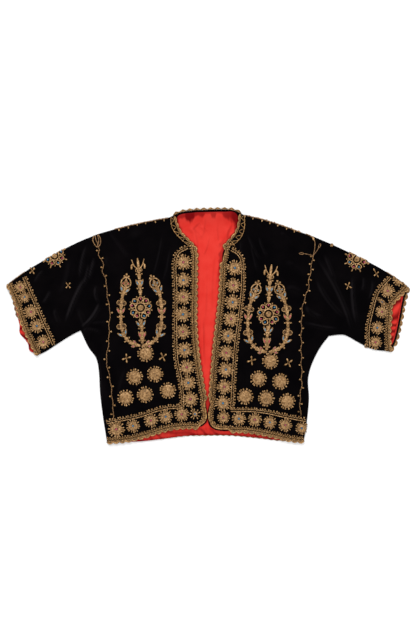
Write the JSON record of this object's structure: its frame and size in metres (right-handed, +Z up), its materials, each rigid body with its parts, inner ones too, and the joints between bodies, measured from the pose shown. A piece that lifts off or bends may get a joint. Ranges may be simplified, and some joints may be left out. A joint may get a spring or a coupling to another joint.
{
  "type": "bolero jacket laid flat",
  "caption": "Short open-fronted velvet folk jacket laid flat, elbow-length sleeves, low stand collar, satin lining, gold cord embroidery and scalloped edging.",
  "frame": {"origin": "middle of the bounding box's underside, on the surface that the jacket lies on", "axes": "+X towards the wearer's left sleeve, +Y towards the collar, +Z up through the layers"},
  "size_m": [0.8824, 0.5203, 0.0078],
  "materials": {
    "velvet": "black silk or cotton velvet with a short upright pile",
    "satin": "soft red satin",
    "gold_thread": "aged metal thread wound and couched as cord and coils",
    "gold_edging": "crocheted metal-thread edging, duller than the cords",
    "pink_stone": "opaque glass bead",
    "blue_stone": "opaque glass bead"
  },
  "bodies": {
    "root": {"back": "velvet", "back_lining": "satin", "hem_edging_back": "gold_edging", "collar_back": "velvet", "collar_edging_back": "gold_edging", "front_right": "velvet", "sleeve_right": "velvet", "sleeve_lining_right": "satin", "collar_right": "velvet", "front_edging_right": "gold_edging", "front_band_right": "gold_thread", "cuff_edging_right": "gold_edging", "cuff_edging_back_right": "gold_edging", "cuff_band_right": "gold_thread", "collar_trim_right": "gold_thread", "wreath_right": "gold_thread", "sleeve_medallion_right": "gold_thread", "vine_right": "gold_thread", "shoulder_cord_right": "gold_thread", "rosette_right_1": "gold_thread", "rosette_right_2": "gold_thread", "rosette_right_3": "gold_thread", "rosette_right_4": "gold_thread", "rosette_right_5": "gold_thread", "rosette_right_6": "gold_thread", "cross_right_1": "gold_thread", "cross_right_2": "gold_thread", "sleeve_cross_right_1": "gold_thread", "sleeve_cross_right_2": "gold_thread", "front_left": "velvet", "sleeve_left": "velvet", "sleeve_lining_left": "satin", "collar_left": "velvet", "front_edging_left": "gold_edging", "front_band_left": "gold_thread", "cuff_edging_left": "gold_edging", "cuff_edging_back_left": "gold_edging", "cuff_band_left": "gold_thread", "collar_trim_left": "gold_thread", "wreath_left": "gold_thread", "sleeve_medallion_left": "gold_thread", "vine_left": "gold_thread", "shoulder_cord_left": "gold_thread", "rosette_left_1": "gold_thread", "rosette_left_2": "gold_thread", "rosette_left_3": "gold_thread", "rosette_left_4": "gold_thread", "rosette_left_5": "gold_thread", "rosette_left_6": "gold_thread", "cross_left_1": "gold_thread", "cross_left_2": "gold_thread", "sleeve_cross_left_1": "gold_thread", "sleeve_cross_left_2": "gold_thread"}
  },
  "joints": []
}
